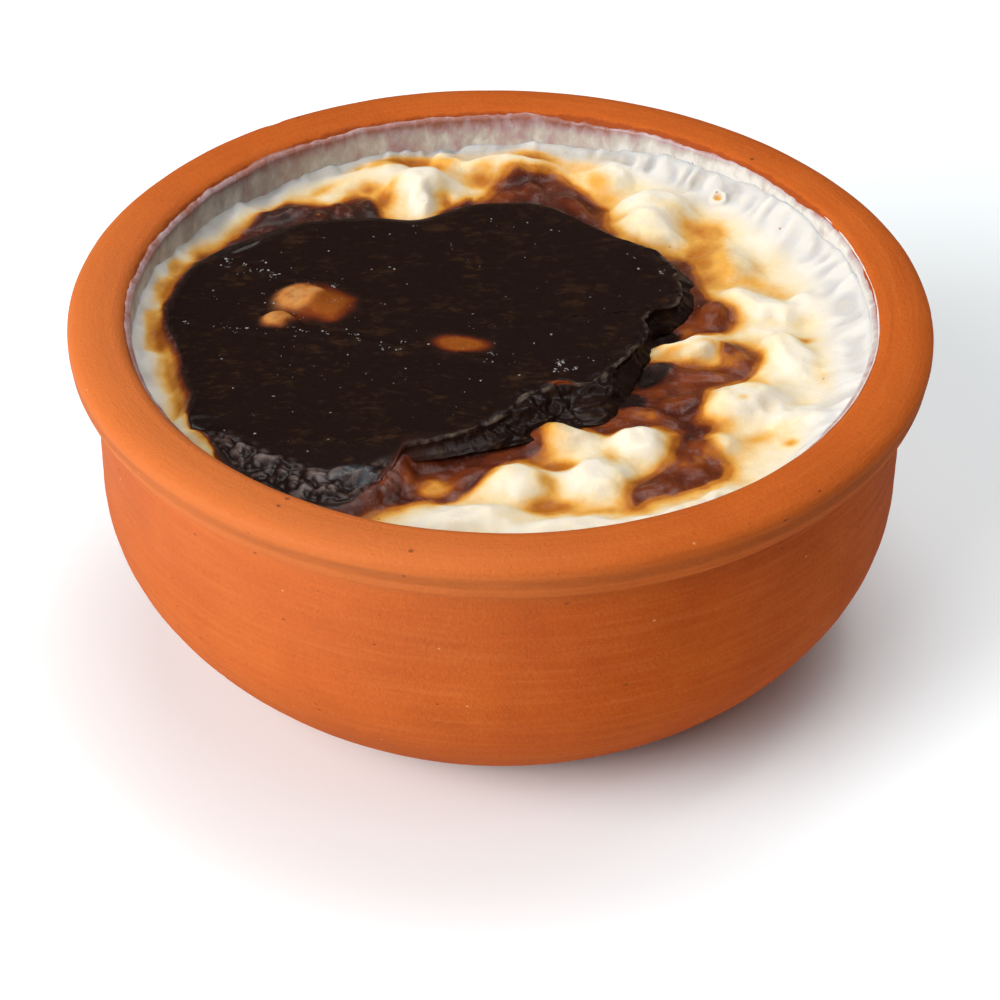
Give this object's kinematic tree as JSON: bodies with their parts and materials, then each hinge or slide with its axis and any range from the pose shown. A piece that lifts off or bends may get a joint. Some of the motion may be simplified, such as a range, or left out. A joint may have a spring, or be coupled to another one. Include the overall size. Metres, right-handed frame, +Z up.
{
  "type": "rice pudding",
  "caption": "Single portion of baked rice pudding with a browned, partly burnt milk skin, in its small round clay bowl.",
  "frame": {"origin": "centre of the bowl's flat foot, on the table", "axes": "+Z up through the bowl's middle; -Y is the front, the side shown nearest the viewer; +X is that viewer's right"},
  "size_m": [0.12, 0.12, 0.0537],
  "materials": {
    "clay": "unglazed, matt, fired orange-brown",
    "pudding": "moist cream, with a satin browned to black skin"
  },
  "bodies": {
    "root": {"bowl": "clay", "pudding": "pudding"}
  },
  "joints": []
}
